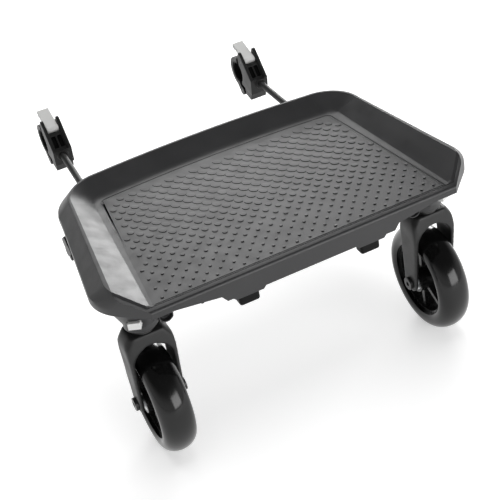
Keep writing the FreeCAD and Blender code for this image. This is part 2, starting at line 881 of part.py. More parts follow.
def swivel_stem():
    low = crown_z - s.stem_bed
    high = bore_top_z - s.stem_cap_gap / 2
    half_groove = s.latch_height / 2 + s.slide_gap
    root = s.stem_radius - s.groove_depth
    profile = [
        (ZERO, low), (s.stem_radius, low),
        (s.stem_radius, latch_z - half_groove), (root, latch_z - half_groove),
        (root, latch_z + half_groove), (s.stem_radius, latch_z + half_groove),
        (s.stem_radius, high - s.groove_depth), (root, high), (ZERO, high),
    ]
    return turned(profile)


def thrust_washer():
    inner = s.stem_radius + s.seat_gap
    high = housing_z - s.bush_flange - s.face_gap
    outer = s.bush_flange_radius
    return turned([(inner, crown_z), (outer, crown_z), (outer, high), (inner, high)])


def fork():
    """Seen from the front it is an arch, seen from the side a leg."""
    drop = crown_z - wheel_radius
    half = s.fork_width / 2
    shoulder = [(s.crown_width / 2, ZERO), (half * SHOULDER_SHARE, s.shoulder_drop)]
    shoulder += [(half * x, drop * z) for x, z in FORK_FRONT_SHARES]
    right = [(x, crown_z - z) for x, z in shoulder]
    left = [(-x, z) for x, z in reversed(right)]
    bulges = {2: s.shoulder_bulge_radius, 4: s.shoulder_bulge_radius}
    front = prism("XZ_Plane", list(reversed(right)) + list(reversed(left)), s.fork_width * 2, bulges)
    crown = [(s.crown_length / 2 * y, drop * z) for y, z in FORK_SIDE_SHARES]
    back = [(y, crown_z - z) for y, z in crown]
    ahead = [(-y, crown_z - z) for y, z in reversed(crown)]
    end = s.leg_end_width / 2
    foot = [(axle_y - end, wheel_radius), (axle_y + end, wheel_radius)]
    outline = ahead[:1] + foot + back[::-1] + ahead[:0:-1]
    side = prism("YZ_Plane", outline, s.fork_width * 2, {1: arc_radius(end, s.leg_end_drop)})
    room = s.fork_gap / 2
    spring = fork_arch_z - s.arch_rise
    opening = [(-room, -fork_arch_z), (room, -fork_arch_z), (room, spring), (-room, spring)]
    arch = prism("XZ_Plane", opening, s.fork_width * 2, {2: arc_radius(room, s.arch_rise)})
    stem_hole = bar(s.stem_radius + s.seat_gap, s.stem_bed * 2, ZERO, ZERO, crown_z - s.stem_bed)
    axle_hole = axle_bar(s.axle_radius + s.seat_gap, s.fork_width + s.overrun * 2)
    round_edge = [(half * x, crown_z - drop * z) for x, z in FORK_ROUND_SHARES]
    rounded = turned([(ZERO, round_edge[0][1])] + round_edge + [(ZERO, crown_z)])
    return cut(common(common(front, side), rounded), arch, stem_hole, axle_hole)


def axle_bar(radius, length, shift=ZERO):
    """A bar on the axle's line, its middle out from the fork's middle by a shift."""
    return bar(radius, length, shift - length / 2, axle_y, wheel_radius, ALONG_X)


fork_face = s.fork_width / 2


def axle_head(side):
    """A domed head against the fork's leg, with a tool socket."""
    middle = fork_face + s.axle_head_height / 2
    head = axle_bar(s.axle_head_radius, s.axle_head_height, middle * side)
    deep = fork_face + s.axle_head_height - s.axle_socket_depth / 2
    socket = axle_bar(s.axle_socket_radius, s.axle_socket_depth, deep * side)
    return cut(head, socket)


def axle_bolt():
    return fuse(axle_bar(s.axle_radius, fork_face * 2), axle_head(1))


def axle_nut():
    return axle_head(-1)


def ring(inner, outer, length, shift=ZERO):
    """A tube on the axle's line."""
    return cut(axle_bar(outer, length, shift), axle_bar(inner, length + s.overrun, shift))


def axle_washers():
    room = (s.fork_gap - s.hub_width) / 2 - s.face_gap
    middle = (s.fork_gap - room) / 2
    radii = (s.axle_radius + s.seat_gap, s.axle_radius + s.spacer_wall)
    return group([ring(*radii, room, middle * side) for side in (-1, 1)])


# Wheel

def tyre():
    inner = wheel_radius - s.tyre_height
    half = s.tyre_width / 2
    side = wheel_radius - s.tyre_crown
    bead = s.rim_width / 2
    profile = [(-bead, inner), (bead, inner), (half, side), (-half, side)]
    tread = turned(profile, "H_Axis", {2: tyre_arc})
    return group([place(tread, ZERO, axle_y, wheel_radius)])


def wheel_rim():
    outer = wheel_radius - s.tyre_height
    band = ring(outer - s.rim_thickness, outer, s.rim_width)
    hub = axle_bar(s.hub_radius, s.hub_width)
    spokes = []
    for n in range(SPOKES):
        spoke = doc.addObject("Part::Box", "spoke")
        bind(spoke, "Length", s.spoke_width)
        bind(spoke, "Width", s.spoke_thickness)
        bind(spoke, "Height", outer - s.rim_thickness / 2)
        angle = 360 * n / SPOKES
        lean = FreeCAD.Rotation(FreeCAD.Vector(1, 0, 0), angle)
        shift = s.spoke_thickness / 2
        y = axle_y - shift * math.cos(math.radians(angle))
        z = wheel_radius - shift * math.sin(math.radians(angle))
        spokes.append(place(spoke, -s.spoke_width / 2, y, z, lean))
    core = axle_bar(s.hub_core_radius, s.hub_width + s.overrun)
    seats = [
        axle_bar(s.bearing_radius, s.bearing_width, (s.hub_width - s.bearing_width) / 2 * side)
        for side in (-1, 1)
    ]
    return cut(fuse(band, hub, *spokes), core, *seats)


def wheel_bearings():
    radii = (s.axle_radius + s.running_gap, s.bearing_radius)
    middle = (s.hub_width - s.bearing_width) / 2
    return group([ring(*radii, s.bearing_width, middle * side) for side in (-1, 1)])


def bearing_spacer():
    inner = s.axle_radius + s.running_gap
    return ring(inner, inner + s.spacer_wall, s.hub_width - s.bearing_width * 2)


# Arm, its guide and its lock

rod_front_y = swivel_y - s.rod_front
rod_back_y = clamp_y - s.rod_end


def arm_bar(radius, start, end):
    """A bar on the arm's line between two places along the board."""
    length = (end - start) / (cosine(s.arm_splay_angle) * cosine(s.arm_rise_angle))
    return bar(radius, length, arm_x(start), start, arm_z(start), ALONG_ARM)


def rod_pin(radius):
    fall = s.rod_pin_set * tangent(s.arm_rise_angle)
    return cross_bar(radius, s.channel_width, -s.rod_pin_set, -s.clamp_lift - fall)


def arm_rod():
    return cut(arm_bar(s.rod_radius, rod_front_y, rod_back_y), rod_pin(s.rod_pin_radius + s.seat_gap))


def arm_stop():
    end = guide_front_y - s.stop_gap
    start = end - s.stop_length
    whole = arm_bar(s.stop_radius, start, end)
    return cut(whole, arm_bar(s.rod_radius + s.seat_gap, start - s.overrun, end + s.overrun))


knob_y = guide_y
knob_z = arm_z(guide_y)
stud_tip_x = arm_x(guide_y) + s.rod_radius + s.stud_tip_gap
knob_x = arm_x(guide_y) + s.knob_reach - s.knob_length


def arm_guide():
    middle = arm_x(guide_y)
    across = (middle - s.guide_width / 2, middle + s.guide_width / 2)
    along = (guide_front_y, guide_front_y + s.guide_length)
    block = box(across, along, (arm_z(guide_y) - s.guide_floor, skin_z))
    bore = arm_bar(s.rod_radius + s.running_gap, along[0] - s.overrun, along[1] + s.overrun)
    stud = bar(s.stud_radius + s.running_gap, s.guide_width, middle, knob_y, knob_z, ALONG_X)
    anchors = [
        bar(s.screw_radius + s.seat_gap, s.screw_length, x, y, anchor_seat_z, DOWN)
        for x, y in anchor_places
        if x.value > 0 and y.value > swivel_y.value + s.guide_length.value
    ]
    return cut(block, bore, stud, *anchors)


def lock_stud():
    return bar(s.stud_radius, knob_x + s.knob_bed - stud_tip_x, stud_tip_x, knob_y, knob_z, ALONG_X)


def lock_knob():
    core = bar(s.knob_core_radius, s.knob_length, knob_x, knob_y, knob_z, ALONG_X)
    reach = s.knob_radius - s.knob_lobe_radius
    lobes = []
    for n in range(KNOB_LOBES):
        angle = 2 * math.pi * n / KNOB_LOBES
        y = knob_y + reach * math.sin(angle)
        z = knob_z + reach * math.cos(angle)
        lobes.append(bar(s.knob_lobe_radius, s.knob_length, knob_x, y, z, ALONG_X))
    deep = s.knob_bed + s.overrun
    bed = bar(s.stud_radius + s.seat_gap, deep, knob_x - s.overrun, knob_y, knob_z, ALONG_X)
    return cut(fuse(core, *lobes), bed)


# Tube clamp

def clamp_prism(corners, width, shift=ZERO):
    """An outline in the clamp's own side view, padded across it."""
    piece = prism("YZ_Plane", corners, width)
    return place(piece, clamp_x + shift, clamp_y, clamp_z)


def clamp_box(width, y, z):
    across = (clamp_x - width / 2, clamp_x + width / 2)
    along = (clamp_y + y[0], clamp_y + y[1])
    return box(across, along, (clamp_z + z[0], clamp_z + z[1]))


def sector(first, last, width):
    """A wedge about the tube between two angles, less than half a turn apart."""
    reach = ring_radius * SECTOR_SHARE
    corners = [(ZERO, ZERO)]
    for n in range(4):
        angle = math.radians(first + (last - first) * n / 3)
        corners.append((reach * math.cos(angle), reach * math.sin(angle)))
    return clamp_prism(corners, width)


def clamp_body():
    cheek = [(-s.front_reach * y, s.ear_rise * z) for y, z in CHEEK_SHARES]
    cheek += [(-s.front_reach * y, s.foot_drop * z) for y, z in CHEEK_LOW_SHARES]
    cheeks = clamp_prism(cheek[::-1], s.clamp_width)
    foot = [(-s.front_reach * y, s.foot_drop * z) for y, z in FOOT_SHARES]
    toe = [(-s.front_reach * y, s.foot_drop * z) for y, z in TOE_SHARES]
    block = fuse(clamp_prism(foot, s.channel_width), clamp_prism(toe, s.toe_width))
    collar_y = clamp_y - s.front_reach - s.collar_reach
    collar = arm_bar(s.rod_radius + s.collar_wall, collar_y, collar_y + s.collar_length)
    barrel = cross_bar(s.hinge_barrel, s.channel_width, -s.hinge_set, -s.hinge_drop)
    bore = cross_bar(bore_radius, s.clamp_width + s.overrun, ZERO, ZERO)
    past = s.ear_rise + s.overrun
    ahead = -s.front_reach - s.overrun
    brow_y = s.brow_thickness - s.brow_set
    channel = clamp_box(s.channel_width, (brow_y, ring_radius), (s.channel_rise, past))
    above_brow = clamp_box(s.channel_width, (ahead, ZERO), (s.brow_rise, past))
    before_face = [(-s.brow_set, s.brow_rise), (ahead, s.brow_rise), (ahead, s.face_low)]
    recess = clamp_prism(before_face + [(-s.face_set, s.face_low)], s.channel_width)
    ends = []
    for share in SLOT_SHARES:
        y = -s.brow_set - (s.face_set - s.brow_set) * share
        ends.append((y, s.brow_rise - (s.brow_rise - s.face_low) * share))
    top, low = ends
    slot = [(top[0] + s.slot_depth, top[1]), (top[0] - s.overrun, top[1])]
    slot += [(low[0] - s.overrun, low[1]), (low[0] + s.slot_depth, low[1])]
    slots = [clamp_prism(slot, s.slot_width, s.slot_spacing / 2 * side) for side in (-1, 1)]
    rod = arm_bar(s.rod_radius + s.seat_gap, clamp_y - s.front_reach * 2, rod_back_y + s.face_gap)
    pin_hole = (s.pin_radius + s.seat_gap, s.clamp_width * 2)
    lever_hole = cross_bar(*pin_hole, -s.lever_pivot_set, s.lever_pivot_rise)
    hinge_hole = cross_bar(*pin_hole, -s.hinge_set, -s.hinge_drop)
    holes = [rod, rod_pin(s.rod_pin_radius + s.seat_gap), lever_hole, hinge_hole]
    whole = fuse(cheeks, block, barrel, collar)
    return cut(whole, bore, channel, above_brow, recess, *slots, *holes)


def tube_ring(inner, outer, width):
    return cut(cross_bar(outer, width, ZERO, ZERO), cross_bar(inner, width + s.overrun, ZERO, ZERO))


def clamp_liner():
    lined = tube_ring(s.tube_radius, bore_radius, s.clamp_width - s.liner)
    return common(lined, sector(LINER_TOP_ANGLE, LINER_LOW_ANGLE, s.clamp_width))


def jaw_part(inner, outer, width):
    """The back of a ring about the tube, in two sectors."""
    half = tube_ring(inner, outer, width)
    low_half = sector(JAW_LOW_ANGLE, 0, s.clamp_width)
    back = fuse(low_half, sector(0, JAW_TOP_ANGLE, s.clamp_width))
    return common(half, back)


def clamp_jaw():
    arc = jaw_part(bore_radius, ring_radius, s.clamp_width)
    tongue = clamp_box(s.tongue_width, (-s.tongue_reach, s.tongue_thickness / 2),
                       (s.tongue_rise - s.tongue_thickness, s.tongue_rise))
    arm = [(ring_radius * y, ring_radius * z) for y, z in JAW_ARM_SHARES]
    ears = fuse(clamp_prism(arm, s.clamp_width),
                cross_bar(s.hinge_barrel, s.clamp_width, -s.hinge_set, -s.hinge_drop))
    gap = s.slide_gap * 2
    deep = (-s.foot_drop * 2, -bore_radius)
    room = clamp_box(s.channel_width + gap, (-ring_radius * 2, ring_radius), deep)
    swing = cross_bar(ring_radius - s.hinge_barrel, s.channel_width + gap, -s.hinge_set, -s.hinge_drop)
    side_arms = cut(ears, common(room, swing))
    hole = cross_bar(s.pin_radius + s.running_gap, s.clamp_width * 2, -s.hinge_set, -s.hinge_drop)
    return cut(fuse(arc, tongue, side_arms), hole, cross_bar(bore_radius, s.clamp_width * 2, ZERO, ZERO))


def jaw_pad():
    return jaw_part(s.tube_radius, bore_radius, s.clamp_width - s.liner)


def hinge_pin():
    return cross_bar(s.pin_radius, s.clamp_width, -s.hinge_set, -s.hinge_drop)


def lever_pin():
    return cross_bar(s.pin_radius, s.clamp_width, -s.lever_pivot_set, s.lever_pivot_rise)


def clamp_lever():
    """A flat paddle that tapers from its hub to a lifted tip."""
    pivot_y = -s.lever_pivot_set
    tip_y = pivot_y + s.lever_length
    tip_z = s.lever_pivot_rise + s.lever_tip_rise
    corners = [
        (pivot_y, s.lever_pivot_rise),
        (pivot_y + s.lever_hub, s.lever_pivot_rise - s.lever_hub / 2),
    ]
    corners += [(tip_y + s.lever_thickness * y, tip_z + s.lever_thickness * z) for y, z in LEVER_TIP_SHARES]
    corners.append((pivot_y, s.lever_pivot_rise + s.lever_hub))
    paddle = clamp_prism(corners, s.lever_width)
    hub = cross_bar(s.lever_hub, s.lever_width, pivot_y, s.lever_pivot_rise)
    hole = cross_bar(s.pin_radius + s.running_gap, s.lever_width * 2, pivot_y, s.lever_pivot_rise)
    return cut(fuse(paddle, hub), hole)


keep(base_frame(), "base_frame")
keep(deck_tray(), "deck_tray")
deck_screws = [screw(x, y, skin_z, length=deck_screw_length) for x, y in deck_screw_places]
keep(group(deck_screws), "deck_screws")
keep(group([screw(x, y, anchor_seat_z, DOWN) for x, y in anchor_places]), "anchor_screws")
keep_pair(front_bumper(), "front_bumper")
keep_pair(caster_housing(), "caster_housing")
keep_pair(swivel_bushes(), "swivel_bushes")
keep_pair(release_button(), "release_button")
keep_pair(release_spring(), "release_spring")
keep_casters(fork(), "fork")
keep_casters(swivel_stem(), "swivel_stem")
keep_casters(thrust_washer(), "thrust_washer")
keep_casters(axle_bolt(), "axle_bolt")
keep_casters(axle_nut(), "axle_nut")
keep_casters(axle_washers(), "axle_washers")
keep_casters(tyre(), "tyre")
keep_casters(wheel_rim(), "wheel_rim")
keep_casters(wheel_bearings(), "wheel_bearings")
keep_casters(bearing_spacer(), "bearing_spacer")
keep_pair(arm_guide(), "arm_guide")
keep_pair(lock_stud(), "lock_stud")
keep_pair(lock_knob(), "lock_knob")
keep_pair(arm_rod(), "arm_rod")
keep_pair(arm_stop(), "arm_stop")
keep_pair(rod_pin(s.rod_pin_radius), "rod_pin")
keep_pair(clamp_body(), "clamp_body")
keep_pair(clamp_liner(), "clamp_liner")
keep_pair(hinge_pin(), "hinge_pin")
keep_pair(lever_pin(), "lever_pin")
keep_pair(clamp_jaw(), "clamp_jaw")
keep_pair(jaw_pad(), "jaw_pad")
keep_pair(clamp_lever(), "clamp_lever")

doc.recompute()
failed = [thing.Label for thing in doc.Objects if {"Invalid", "Error"} & set(thing.State)]
failed += [piece.Label for piece in parts if piece.Shape.isNull() or not piece.Shape.isValid()]
if failed:
    raise RuntimeError("These pieces failed: " + ", ".join(failed))

os.makedirs("parts", exist_ok=True)
for piece in parts:
    piece.Shape.exportStep(f"parts/{piece.Label}.step")
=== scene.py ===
import json
import math

import bpy
import numpy as np
from mathutils import Matrix, Vector


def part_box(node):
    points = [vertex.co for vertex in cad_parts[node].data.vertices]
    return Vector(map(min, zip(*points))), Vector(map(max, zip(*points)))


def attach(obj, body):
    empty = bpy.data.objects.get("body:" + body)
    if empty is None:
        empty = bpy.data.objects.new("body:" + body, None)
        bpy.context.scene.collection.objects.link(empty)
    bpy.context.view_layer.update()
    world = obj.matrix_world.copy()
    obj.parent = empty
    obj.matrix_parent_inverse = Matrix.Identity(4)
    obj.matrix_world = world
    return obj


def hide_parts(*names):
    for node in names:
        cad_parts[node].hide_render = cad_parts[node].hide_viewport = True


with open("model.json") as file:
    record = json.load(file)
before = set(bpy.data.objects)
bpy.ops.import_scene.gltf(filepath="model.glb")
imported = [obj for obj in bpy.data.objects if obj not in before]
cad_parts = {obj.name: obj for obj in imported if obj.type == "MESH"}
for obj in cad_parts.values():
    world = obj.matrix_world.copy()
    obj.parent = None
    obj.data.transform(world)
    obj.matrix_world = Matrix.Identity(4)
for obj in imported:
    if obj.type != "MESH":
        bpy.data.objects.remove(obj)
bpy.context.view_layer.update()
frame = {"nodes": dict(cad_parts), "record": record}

MM = 0.001
SIDES = ("left", "right")

# Sizes that the looks share with the solids, in millimetres
FLOOR_HEIGHT = 220.0
FLOOR_FRONT = -226.6
FLOOR_DEPTH = 223.0
FLOOR_HALF_FRONT = 170.0
FLOOR_HALF_BACK = 150.0
WALL_FILLET = 5.0
TYRE_RADIUS = 64.0
TYRE_BEAD = 44.0
TYRE_HALF_WIDTH = 18.8
TYRE_HALF_HEIGHT = 14.0

# How meshes are cleaned and rounded: distances in millimetres, angles in degrees
SAME_POINT = 0.02
SAME_PLANE = 0.5
SHARP_ANGLE = 28
BOARD_ROUND = 0.9
SCREW_ROUND = 0.4


# Hand tools

def select_only(piece):
    """Make one object the selected and active one, in object mode."""
    if bpy.context.object and bpy.context.object.mode != "OBJECT":
        bpy.ops.object.mode_set(mode="OBJECT")
    bpy.ops.object.select_all(action="DESELECT")
    piece.hide_viewport = False
    piece.select_set(True)
    bpy.context.view_layer.objects.active = piece


def begin_edit(piece, kind="VERT"):
    """Go into edit mode with nothing selected."""
    select_only(piece)
    bpy.ops.object.mode_set(mode="EDIT")
    bpy.ops.mesh.select_mode(type=kind)
    bpy.ops.mesh.select_all(action="DESELECT")


def end_edit():
    bpy.ops.object.mode_set(mode="OBJECT")


def pick(piece, kind, chosen):
    """In edit mode, select only the vertices, edges or faces that a test chooses."""
    bpy.ops.mesh.select_mode(type=kind)
    bpy.ops.mesh.select_all(action="DESELECT")
    bpy.ops.object.mode_set(mode="OBJECT")
    mesh = piece.data
    for element in {"VERT": mesh.vertices, "EDGE": mesh.edges, "FACE": mesh.polygons}[kind]:
        element.select = bool(chosen(element))
    bpy.ops.object.mode_set(mode="EDIT")


def apply_modifier(piece, kind, **settings):
    """Add a modifier with these settings and apply it."""
    select_only(piece)
    modifier = piece.modifiers.new(kind.lower(), kind)
    for name, value in settings.items():
        setattr(modifier, name, value)
    bpy.ops.object.modifier_apply(modifier=modifier.name)


def smooth_shade(piece, angle=35):
    select_only(piece)
    bpy.ops.object.shade_smooth_by_angle(angle=math.radians(angle))


def merged_copy(node, name):
    """A copy of a solid's mesh with its loose triangles merged."""
    source = frame["nodes"][node]
    piece = bpy.data.objects.new(name, source.data.copy())
    bpy.context.scene.collection.objects.link(piece)
    select_only(piece)
    bpy.ops.mesh.customdata_custom_splitnormals_clear()
    begin_edit(piece)
    bpy.ops.mesh.select_all(action="SELECT")
    bpy.ops.mesh.remove_doubles(threshold=SAME_POINT * MM)
    bpy.ops.mesh.dissolve_limited(angle_limit=math.radians(SAME_PLANE))
    end_edit()
    return piece


def soften(piece, width, segments=3):
    """Round a moulding's sharp edges."""
    apply_modifier(
        piece, "BEVEL", width=width * MM, segments=segments, limit_method="ANGLE",
        angle_limit=math.radians(SHARP_ANGLE), use_clamp_overlap=True,
    )
    smooth_shade(piece)
    apply_modifier(piece, "WEIGHTED_NORMAL", keep_sharp=True, weight=100)


def round_over(piece, voxel, passes, share):
    """Round a moulding all over: an even skin, relaxed, then thinned."""
    apply_modifier(piece, "REMESH", mode="VOXEL", voxel_size=voxel * MM)
    apply_modifier(piece, "SMOOTH", factor=0.5, iterations=passes)
    apply_modifier(piece, "DECIMATE", ratio=share)
    smooth_shade(piece, 50)


def dress(piece, node, body, material):
    """Give a piece its finish and its body, and hide the solid that it stands for."""
    piece.data.materials.clear()
    piece.data.materials.append(material)
    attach(piece, body)
    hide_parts(node)


# Finishes

# Where a noise texture's values mostly lie, for gloss and for tone
GLOSS_NOISE = (0.3, 0.7)
TONE_NOISE = (0.32, 0.68)


def new_finish(name):
    material = bpy.data.materials.new(name)
    material.use_nodes = True
    tree = material.node_tree
    return material, tree.nodes, tree.links, tree.nodes["Principled BSDF"]


def noise(nodes, links, place, scale, detail):
    texture = nodes.new("ShaderNodeTexNoise")
    texture.inputs["Scale"].default_value = scale
    texture.inputs["Detail"].default_value = detail
    links.new(place.outputs["Object"], texture.inputs["Vector"])
    return texture


def span(nodes, links, source, low, high):
    """Map a texture's value to a range."""
    node = nodes.new("ShaderNodeMapRange")
    node.inputs["From Min"].default_value, node.inputs["From Max"].default_value = GLOSS_NOISE
    node.inputs["To Min"].default_value = low
    node.inputs["To Max"].default_value = high
    links.new(source.outputs["Fac"], node.inputs["Value"])
    return node


def moulded(name, dark, light, gloss, grain, depth, cloud=16.0, strength=0.35, shine=0.5):
    """Moulded plastic or rubber: cloudy tone, uneven gloss and a fine grain."""
    material, nodes, links, shader = new_finish(name)
    place = nodes.new("ShaderNodeTexCoord")
    clouds = noise(nodes, links, place, cloud, 5.0)
    tone = nodes.new("ShaderNodeValToRGB")
    for stop, position, colour in zip(tone.color_ramp.elements, TONE_NOISE, (dark, light)):
        stop.position = position
        stop.color = (*colour, 1.0)
    links.new(clouds.outputs["Fac"], tone.inputs["Fac"])
    links.new(tone.outputs["Color"], shader.inputs["Base Color"])
    smears = noise(nodes, links, place, cloud * 4, 3.0)
    rough = span(nodes, links, smears, *gloss)
    links.new(rough.outputs["Result"], shader.inputs["Roughness"])
    fine = noise(nodes, links, place, grain, 2.0)
    bump = nodes.new("ShaderNodeBump")
    bump.inputs["Strength"].default_value = strength
    bump.inputs["Distance"].default_value = depth * MM
    links.new(fine.outputs["Fac"], bump.inputs["Height"])
    links.new(bump.outputs["Normal"], shader.inputs["Normal"])
    shader.inputs["Specular IOR Level"].default_value = shine
    return material


def metal(name, dark, light, gloss, stretch):
    """Bare or coated metal with drawn lines along one axis."""
    material, nodes, links, shader = new_finish(name)
    place = nodes.new("ShaderNodeTexCoord")
    mapping = nodes.new("ShaderNodeMapping")
    mapping.inputs["Scale"].default_value = stretch
    links.new(place.outputs["Object"], mapping.inputs["Vector"])
    lines = nodes.new("ShaderNodeTexNoise")
    lines.inputs["Scale"].default_value = 900.0
    lines.inputs["Detail"].default_value = 3.0
    links.new(mapping.outputs["Vector"], lines.inputs["Vector"])
    tone = nodes.new("ShaderNodeValToRGB")
    tone.color_ramp.elements[0].color = (*dark, 1.0)
    tone.color_ramp.elements[1].color = (*light, 1.0)
    links.new(lines.outputs["Fac"], tone.inputs["Fac"])
    links.new(tone.outputs["Color"], shader.inputs["Base Color"])
    rough = span(nodes, links, lines, *gloss)
    links.new(rough.outputs["Result"], shader.inputs["Roughness"])
    shader.inputs["Metallic"].default_value = 1.0
    return material


FINISH = {
    "frame_plastic": moulded(
        "frame_plastic", (0.017, 0.017, 0.018), (0.023, 0.023, 0.024), (0.36, 0.46), 1400, 0.06),
    "deck_plastic": moulded(
        "deck_plastic", (0.019, 0.019, 0.020), (0.026, 0.026, 0.027), (0.34, 0.44), 1100, 0.06),
    # Painted shade: a near-black finish for the tread dots' sides, so that each dot shows a dark rim
    "dot_side_painted_shade": moulded(
        "dot_side_painted_shade", (0.004, 0.004, 0.004), (0.006, 0.006, 0.006), (0.50, 0.60), 1100, 0.06, shine=0.15),
    "caster_plastic": moulded(
        "caster_plastic", (0.012, 0.012, 0.012), (0.018, 0.018, 0.018), (0.40, 0.50), 1600, 0.05, shine=0.4),
    "clamp_plastic": moulded(
        "clamp_plastic", (0.009, 0.009, 0.009), (0.014, 0.014, 0.014), (0.38, 0.48), 1600, 0.05, shine=0.28),
    "light_plastic": moulded(
        "light_plastic", (0.56, 0.56, 0.55), (0.62, 0.62, 0.61), (0.38, 0.46), 1800, 0.04),
    "hub_plastic": moulded(
        "hub_plastic", (0.008, 0.008, 0.008), (0.012, 0.012, 0.012), (0.20, 0.30), 1800, 0.03),
    "bush_plastic": moulded(
        "bush_plastic", (0.010, 0.010, 0.010), (0.016, 0.016, 0.016), (0.35, 0.45), 1600, 0.03),
    "tyre": moulded(
        "tyre", (0.003, 0.003, 0.003), (0.005, 0.005, 0.005), (0.12, 0.20), 2200, 0.02,
        strength=0.1, shine=0.4),
    "rubber": moulded(
        "rubber", (0.003, 0.003, 0.003), (0.005, 0.005, 0.005), (0.40, 0.50), 1800, 0.05, shine=0.12),
    "button": moulded(
        "button", (0.80, 0.80, 0.79), (0.86, 0.86, 0.85), (0.38, 0.46), 1800, 0.04),
    "shadow_gap": moulded(
        "shadow_gap", (0.002, 0.002, 0.002), (0.003, 0.003, 0.003), (0.60, 0.70), 1600, 0.05, shine=0.05),
    "rod_steel": moulded(
        "rod_steel", (0.016, 0.016, 0.016), (0.022, 0.022, 0.022), (0.42, 0.52), 2400, 0.02,
        strength=0.2, shine=0.3),
    "dark_steel": moulded(
        "dark_steel", (0.014, 0.014, 0.014), (0.022, 0.022, 0.022), (0.24, 0.34), 2400, 0.02, strength=0.2),
    "steel": metal("steel", (0.48, 0.49, 0.50), (0.60, 0.61, 0.62), (0.24, 0.36), (1.0, 1.0, 0.08)),
}
SLOT_OF = {row["node"]: row["material_slot"] for row in frame["record"]["subparts"]}
BODY_OF = {
    node: body for body, nodes in frame["record"]["behaviour"]["bodies"].items() for node in nodes
}


def dress_node(piece, node):
    slot = SLOT_OF[node]
    dress(piece, node, BODY_OF[node], FINISH[slot])


# Deck tray, with a fillet and a groove round its floor

# Groove: how far each of its edges lies inward of the last, and above it
GROOVE = ((0.4, 0.0), (0.6, -0.45), (0.9, 0.0), (0.6, 0.45))
FILLET_STEPS = 5
# Narrowest face that the tray keeps
SLIVER = 0.15
# How near the floor's height a corner or a face has to be, and how far back its outline starts
CORNER_LEVEL = 0.02
FACE_LEVEL = 0.05
OUTLINE_START = 1.0


def on_floor_outline(mesh, edge):
    """An edge between the floor and a wall."""
    ends = [mesh.vertices[n].co for n in edge.vertices]
    level = all(abs(end.z - FLOOR_HEIGHT * MM) < CORNER_LEVEL * MM for end in ends)
    behind = any(end.y > (FLOOR_FRONT + OUTLINE_START) * MM for end in ends)
    return level and behind


def on_floor(face):
    return face.normal.z > 0.999 and abs(face.center.z / MM - FLOOR_HEIGHT) < FACE_LEVEL


def make_tray():
    tray = merged_copy("deck_tray", "tray_moulding")
    begin_edit(tray, "EDGE")
    pick(tray, "EDGE", lambda edge: on_floor_outline(tray.data, edge))
    bpy.ops.mesh.bevel(offset=WALL_FILLET * MM, segments=FILLET_STEPS, affect="EDGES")
    bpy.ops.mesh.select_all(action="SELECT")
    bpy.ops.mesh.remove_doubles(threshold=2 * SLIVER * MM)
    bpy.ops.mesh.dissolve_degenerate(threshold=SLIVER * MM)
    pick(tray, "FACE", on_floor)
    for inward, rise in GROOVE:
        bpy.ops.mesh.inset(thickness=inward * MM, depth=rise * MM)
    end_edit()
    soften(tray, BOARD_ROUND)
    dress_node(tray, "deck_tray")


# Tread: one flat-topped dot, repeated in two staggered grids and shaped by its place

DOT_CORNERS = 10
DOT_RADIUS = 1.0
DOT_RISE = 0.75
# Dot's side and the edge of its top: inward and up
DOT_STEPS = ((0.06, DOT_RISE), (0.12, 0.04))
DOT_PITCH = (14.7, 18.0)
FIRST_ROW = 8.0
# Half a dot's width before and after it has grown
DOT_SIZES = (1.7, 5.6)
# Shares of the floor's depth where the growth starts and that it takes
GROWTH_START, GROWTH_REACH = 0.18, 0.42
# Distance from a side where the growth starts, the width that it takes, and its share at the side
SIDE_START, SIDE_REACH, SIDE_GROWTH = 8.0, 45.0, 0.45
# Direction of the rows that grown dots join into
DOT_ROW = np.array((DOT_PITCH[0], -DOT_PITCH[1])) / math.hypot(*DOT_PITCH)
# Shares by which a grown dot is longer along its row, narrower across it, and lower
ROW_STRETCH, ROW_NARROWING, LOWERING = 0.12, 0.3, 0.4
# Bare edges of the floor
WALL_MARGIN = 2.5
LIP_MARGIN = 3.0
TREAD_CORNER = 22.0


def within_unit(value):
    return min(1.0, max(0.0, value))


def floor_half_width(y):
    share = (y - FLOOR_FRONT) / FLOOR_DEPTH
    return FLOOR_HALF_FRONT + (FLOOR_HALF_BACK - FLOOR_HALF_FRONT) * share


def dot_growth(x, y):
    """How far a dot has grown: most towards the back, little along the front and the sides."""
    grown = within_unit(((y - FLOOR_FRONT) / FLOOR_DEPTH - GROWTH_START) / GROWTH_REACH)
    inner = within_unit((floor_half_width(y) - abs(x) - SIDE_START) / SIDE_REACH)
    return grown * (SIDE_GROWTH + (1 - SIDE_GROWTH) * inner)


def dot_size(x, y):
    return DOT_SIZES[0] + (DOT_SIZES[1] - DOT_SIZES[0]) * dot_growth(x, y)


def make_dot():
    """One dot without an underside."""
    bpy.ops.object.select_all(action="DESELECT")
    bpy.ops.mesh.primitive_cylinder_add(vertices=DOT_CORNERS, radius=DOT_RADIUS * MM, depth=2 * MM)
    dot = bpy.context.object
    dot.name = "floor_tread"
    begin_edit(dot, "FACE")
    pick(dot, "FACE", lambda face: face.normal.z > 0.9)
    for inward, rise in DOT_STEPS:
        bpy.ops.mesh.inset(thickness=inward * MM, depth=rise * MM)
    pick(dot, "FACE", lambda face: face.normal.z < -0.9)
    bpy.ops.mesh.delete(type="FACE")
    end_edit()
    return dot


